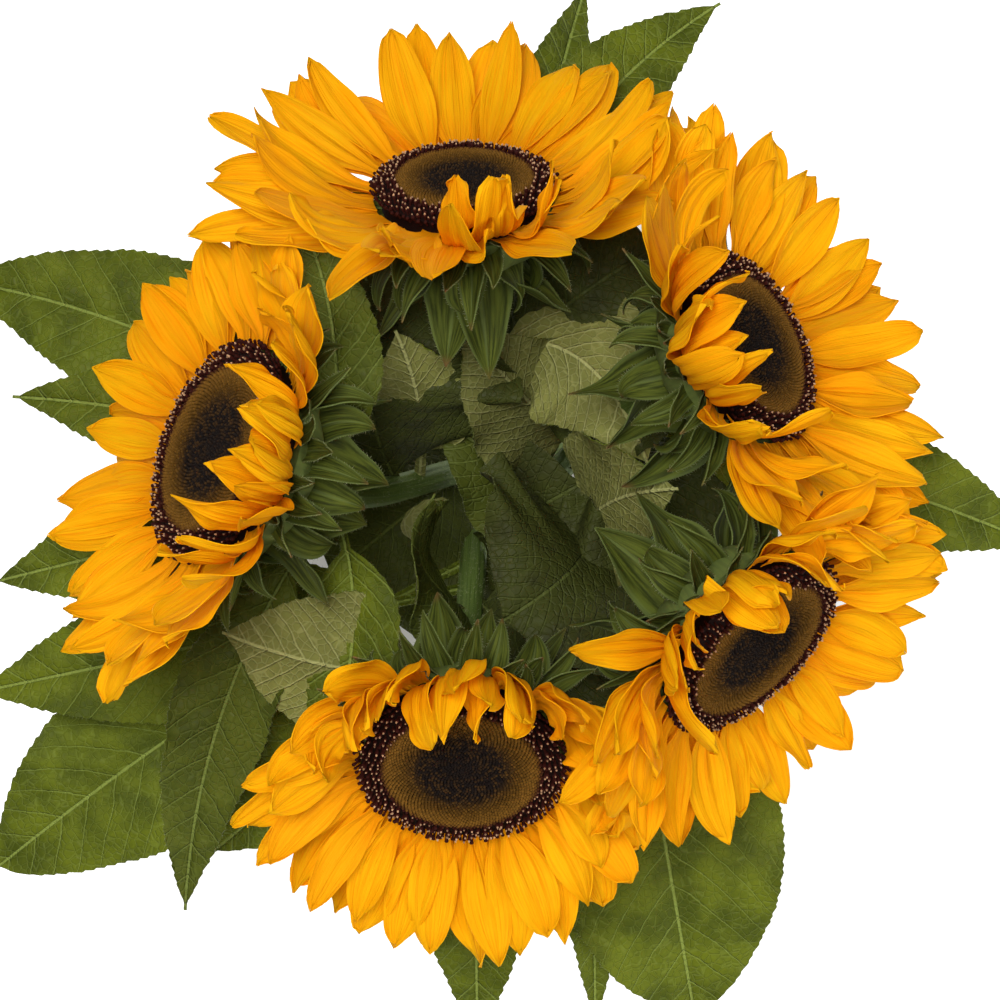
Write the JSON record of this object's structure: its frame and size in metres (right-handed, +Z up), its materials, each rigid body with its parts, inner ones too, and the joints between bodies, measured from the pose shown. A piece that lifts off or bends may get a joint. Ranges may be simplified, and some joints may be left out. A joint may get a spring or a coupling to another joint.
{
  "type": "sunflower bunch",
  "caption": "Hand-tied bunch of cut sunflowers facing outwards over their leaves, with a spiral of stems held by twine, standing on its cut ends.",
  "frame": {"origin": "middle of the bunch's bounding box, level with the cut ends of the stems", "axes": "+Z up through the tie to the flower heads, +Y towards the rear head, +X towards the right-hand heads"},
  "size_m": [0.4186, 0.4098, 0.4393],
  "materials": {
    "petal": "silky, slightly translucent ray petals",
    "disc": "velvety dark florets with a maroon rim",
    "calyx": "matte hairy green bracts",
    "leaf": "rough veined leaf, paler beneath",
    "stem": "ribbed green stem with fine hairs, pale pith at the cut",
    "twine": "natural jute twine"
  },
  "bodies": {
    "root": {"front_calyx": "calyx", "front_disc": "disc", "front_leaf_1": "leaf", "front_leaf_2": "leaf", "front_leaf_3": "leaf", "front_leaf_4": "leaf", "front_leaf_5": "leaf", "front_leaf_6": "leaf", "front_leaf_7": "leaf", "front_leaf_8": "leaf", "front_petals_inner": "petal", "front_petals_left": "petal", "front_petals_right": "petal", "front_stem": "stem", "left_calyx": "calyx", "left_disc": "disc", "left_leaf_1": "leaf", "left_leaf_2": "leaf", "left_leaf_3": "leaf", "left_leaf_4": "leaf", "left_leaf_5": "leaf", "left_leaf_6": "leaf", "left_leaf_7": "leaf", "left_leaf_8": "leaf", "left_leaf_9": "leaf", "left_petals_inner": "petal", "left_petals_left": "petal", "left_petals_right": "petal", "left_stem": "stem", "rear_calyx": "calyx", "rear_disc": "disc", "rear_leaf_1": "leaf", "rear_leaf_2": "leaf", "rear_leaf_3": "leaf", "rear_leaf_4": "leaf", "rear_petals_inner": "petal", "rear_petals_left": "petal", "rear_petals_right": "petal", "rear_stem": "stem", "right_front_calyx": "calyx", "right_front_disc": "disc", "right_front_leaf_1": "leaf", "right_front_leaf_2": "leaf", "right_front_leaf_3": "leaf", "right_front_leaf_4": "leaf", "right_front_petals_inner": "petal", "right_front_petals_left": "petal", "right_front_petals_right": "petal", "right_front_stem": "stem", "right_rear_calyx": "calyx", "right_rear_disc": "disc", "right_rear_leaf_1": "leaf", "right_rear_leaf_2": "leaf", "right_rear_leaf_3": "leaf", "right_rear_leaf_4": "leaf", "right_rear_petals_inner": "petal", "right_rear_petals_left": "petal", "right_rear_petals_right": "petal", "right_rear_stem": "stem", "tie": "twine"}
  },
  "joints": []
}
